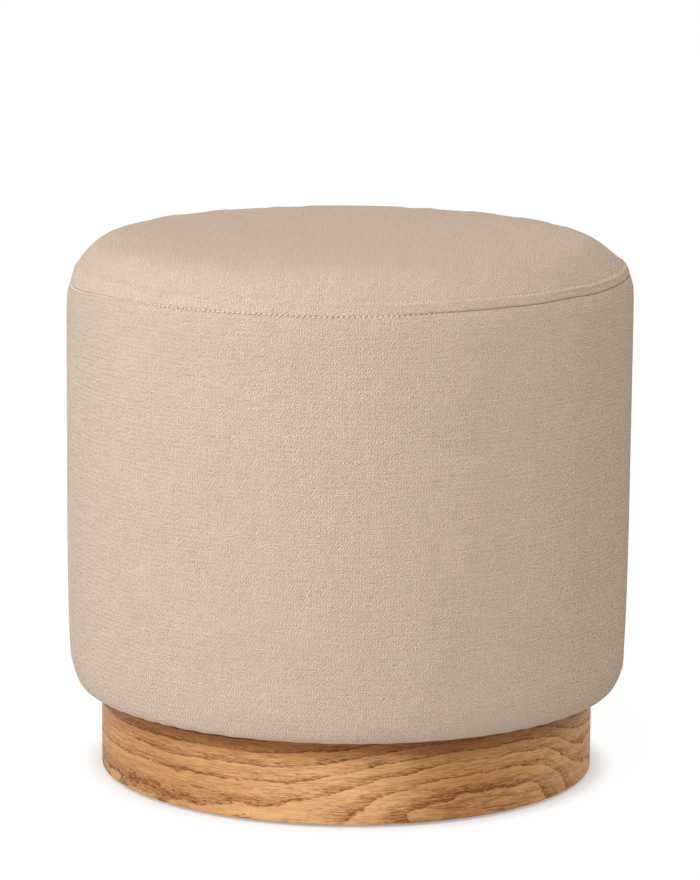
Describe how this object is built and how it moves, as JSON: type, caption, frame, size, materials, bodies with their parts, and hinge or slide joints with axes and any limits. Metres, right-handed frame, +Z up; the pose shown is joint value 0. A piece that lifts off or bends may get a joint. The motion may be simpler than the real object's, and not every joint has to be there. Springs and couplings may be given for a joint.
{
  "type": "round upholstered footstool",
  "caption": "Round drum footstool: crowned woven upholstery with a stitched top seam, over a padded ply frame bolted to a recessed round oak plinth on low glides.",
  "frame": {"origin": "on the floor, under the middle of the footstool", "axes": "+Z up, -Y the side that faces the picture's camera, +X that camera's right; the drum's closing joints are at the back, +Y"},
  "size_m": [0.445, 0.445, 0.43],
  "materials": {
    "cover_cloth": "matte",
    "wadding": "matte",
    "foam": "matte",
    "fibreboard": "matte",
    "plywood": "matte",
    "pine": "matte",
    "oak": "satin",
    "zinc_steel": "satin",
    "liner_cloth": "matte",
    "nylon": "satin"
  },
  "bodies": {
    "root": {"base_board": "plywood", "base_screw_1": "zinc_steel", "base_screw_2": "zinc_steel", "base_screw_3": "zinc_steel", "base_screw_4": "zinc_steel", "base_screw_5": "zinc_steel", "base_screw_6": "zinc_steel", "bolt_1": "zinc_steel", "bolt_2": "zinc_steel", "bolt_3": "zinc_steel", "bolt_4": "zinc_steel", "bottom_liner": "liner_cloth", "glide_1": "nylon", "glide_2": "nylon", "glide_3": "nylon", "glide_4": "nylon", "glue_block_1": "pine", "glue_block_2": "pine", "glue_block_3": "pine", "glue_block_4": "pine", "middle_former": "plywood", "plinth_board": "plywood", "plinth_ring": "oak", "post_1": "pine", "post_2": "pine", "post_3": "pine", "post_4": "pine", "post_5": "pine", "post_6": "pine", "seat_board": "plywood", "seat_foam": "foam", "seat_screw_1": "zinc_steel", "seat_screw_2": "zinc_steel", "seat_screw_3": "zinc_steel", "seat_screw_4": "zinc_steel", "seat_screw_5": "zinc_steel", "seat_screw_6": "zinc_steel", "side_cover": "cover_cloth", "side_foam": "foam", "side_wadding": "wadding", "tee_nut_1": "zinc_steel", "tee_nut_2": "zinc_steel", "tee_nut_3": "zinc_steel", "tee_nut_4": "zinc_steel", "top_cover": "cover_cloth", "top_wadding": "wadding", "wall_board": "fibreboard", "washer_1": "zinc_steel", "washer_2": "zinc_steel", "washer_3": "zinc_steel", "washer_4": "zinc_steel"}
  },
  "joints": []
}
